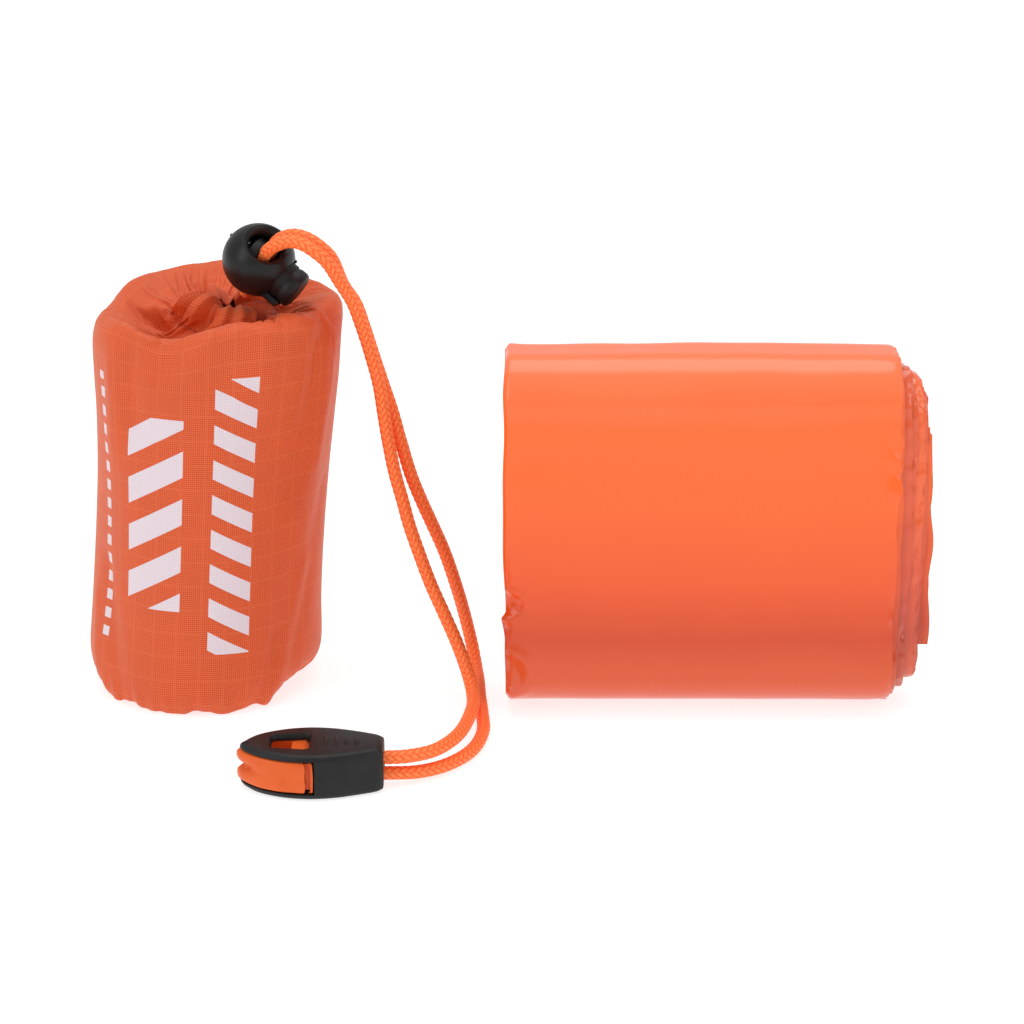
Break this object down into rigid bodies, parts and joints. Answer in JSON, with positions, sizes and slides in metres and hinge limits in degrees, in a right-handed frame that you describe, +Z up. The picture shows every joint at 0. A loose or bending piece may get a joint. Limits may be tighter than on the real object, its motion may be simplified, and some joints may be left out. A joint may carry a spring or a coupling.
{
  "type": "emergency bivy sack with stuff sack",
  "caption": "Orange film bivy folded flat beside its full ripstop drawstring stuff sack, with ball cord lock, doubled braided cord and a two-part whistle.",
  "frame": {"origin": "on the surface the kit stands on, under the middle of the stuff sack and the folded bivy together, without the free cord and whistle", "axes": "+Z up; +X from the stuff sack to the folded bivy; the whistle lies on the -Y side"},
  "size_m": [0.2248, 0.1145, 0.1283],
  "materials": {
    "sack_ripstop": "coated ripstop nylon weave",
    "hem_ripstop": "ripstop nylon folded and stitched",
    "seam_thread": "overlocked seam allowance",
    "orange_cord": "braided polyester",
    "film": "glossy polyethylene film",
    "lock_black": "moulded, satin",
    "spring_steel": "drawn wire",
    "whistle_black": "fine texture",
    "whistle_orange": "moulded, semi-gloss"
  },
  "bodies": {
    "stuff_sack": {"sack_side_panel": "sack_ripstop", "sack_base_panel": "sack_ripstop", "base_seam_overlock": "seam_thread", "side_seam_overlock": "seam_thread", "mouth_hem_channel": "hem_ripstop", "packed_bivy_roll": "film", "hem_drawcord": "orange_cord", "drawcord_tail_front": "orange_cord", "drawcord_tail_rear": "orange_cord", "cord_strand_front": "orange_cord", "cord_strand_rear": "orange_cord"},
    "cord_lock": {"lock_body": "lock_black", "lock_spring": "spring_steel"},
    "lock_button": {"lock_plunger": "lock_black"},
    "whistle": {"whistle_housing": "whistle_black", "whistle_insert": "whistle_orange", "cord_end_knot": "orange_cord"},
    "folded_bivy": {"bivy_wrap_outer": "film", "bivy_wrap_second": "film", "bivy_wrap_third": "film", "bivy_wrap_fourth": "film", "bivy_core_fold": "film"},
    "film_tail": {"bivy_tail_flap": "film"}
  },
  "joints": [
    {"name": "lock_slide", "type": "slide", "parent": "stuff_sack", "child": "cord_lock", "axis": [0.3405, -0.6209, 0.7061], "range_m": [0, 0.0035]},
    {"name": "button_press", "type": "slide", "parent": "cord_lock", "child": "lock_button", "axis": [-0.7699, 0.2469, 0.5885], "range_m": [0, 0.0025], "stiffness_N_per_m": 300, "springref_m": -0.003, "deforming": ["lock_spring"]},
    {"name": "whistle_swing", "type": "hinge", "parent": "stuff_sack", "child": "whistle", "pos_m": [-0.0313, -0.0718, 0.006], "axis": [0, 0, 1], "range_deg": [-25, 25], "deforming": ["cord_strand_front", "cord_strand_rear"]},
    {"name": "bivy_lift", "type": "slide", "parent": "stuff_sack", "child": "folded_bivy", "axis": [0, 0, 1], "range_m": [0, 0.12]},
    {"name": "tail_unroll", "type": "hinge", "parent": "folded_bivy", "child": "film_tail", "pos_m": [0.05, -0.0002, 0.084], "axis": [1, 0, 0], "range_deg": [0, 90]}
  ]
}
